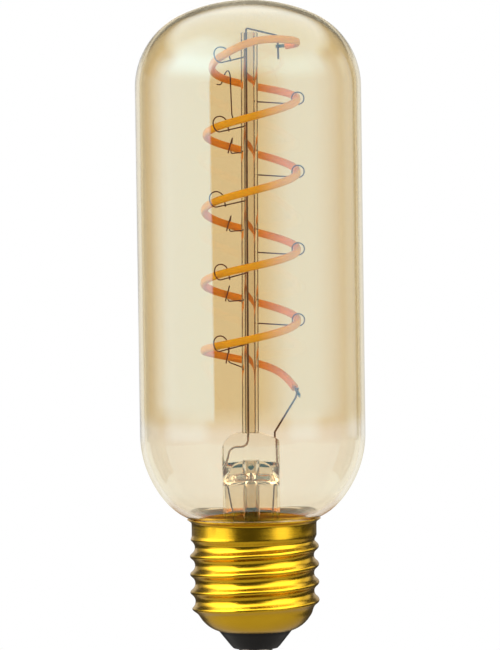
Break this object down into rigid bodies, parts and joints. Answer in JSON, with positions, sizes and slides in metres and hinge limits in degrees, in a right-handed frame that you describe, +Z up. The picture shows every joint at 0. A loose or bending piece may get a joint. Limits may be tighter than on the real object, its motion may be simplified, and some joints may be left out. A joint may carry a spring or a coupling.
{
  "type": "tubular light bulb",
  "caption": "Tubular lamp of gold-tinted clear glass with a domed top, a spiral filament on a glass column and an E27 screw cap.",
  "frame": {"origin": "centre of the lower face of the centre contact, on the bulb's axis", "axes": "+Z up the bulb's axis from the contact to the dome; a viewer in front looks along +Y with +X to the right"},
  "size_m": [0.0454, 0.0454, 0.1316],
  "materials": {
    "gold_glass": "clear blown glass, gold tinted",
    "stem_glass": "clear glass, flame worked",
    "phosphor_silicone": "satin silicone with phosphor",
    "nickel_strip": "rolled strip",
    "lead_wire": "drawn wire, dulled by heat",
    "support_wire": "drawn wire, dulled by heat",
    "cement": "cured resin cement",
    "rolled_brass": "rolled sheet, bright",
    "black_insulator": "moulded, smooth",
    "contact_metal": "stamped, plated",
    "circuit_board": "resin board",
    "component_black": "moulded resin",
    "capacitor_can": "drawn can",
    "resistor_coat": "lacquered ceramic",
    "tinned_wire": "drawn, tinned",
    "solder": "soft solder, satin"
  },
  "bodies": {
    "root": {"glass_envelope": "gold_glass", "stem_flare": "stem_glass", "exhaust_tube": "stem_glass", "centre_column": "stem_glass", "led_filament": "phosphor_silicone", "filament_tab_top": "nickel_strip", "filament_tab_bottom": "nickel_strip", "top_lead_wire": "lead_wire", "bottom_lead_wire": "lead_wire", "lead_in_left": "lead_wire", "lead_in_right": "lead_wire", "basing_cement": "cement", "cap_shell": "rolled_brass", "cap_insulator": "black_insulator", "centre_contact": "contact_metal", "driver_board": "circuit_board", "bridge_rectifier": "component_black", "driver_chip": "component_black", "chip_resistor_1": "component_black", "chip_resistor_2": "component_black", "smoothing_capacitor": "capacitor_can", "fusible_resistor": "resistor_coat", "contact_wire": "tinned_wire", "shell_wire": "tinned_wire", "shell_solder": "solder", "support_front_1": "support_wire", "support_front_2": "support_wire", "support_front_3": "support_wire", "support_front_4": "support_wire", "support_front_5": "support_wire", "support_back_1": "support_wire", "support_back_2": "support_wire", "support_back_3": "support_wire", "support_back_4": "support_wire", "support_back_5": "support_wire", "support_right_1": "support_wire", "support_right_2": "support_wire", "support_right_3": "support_wire", "support_right_4": "support_wire"}
  },
  "joints": []
}
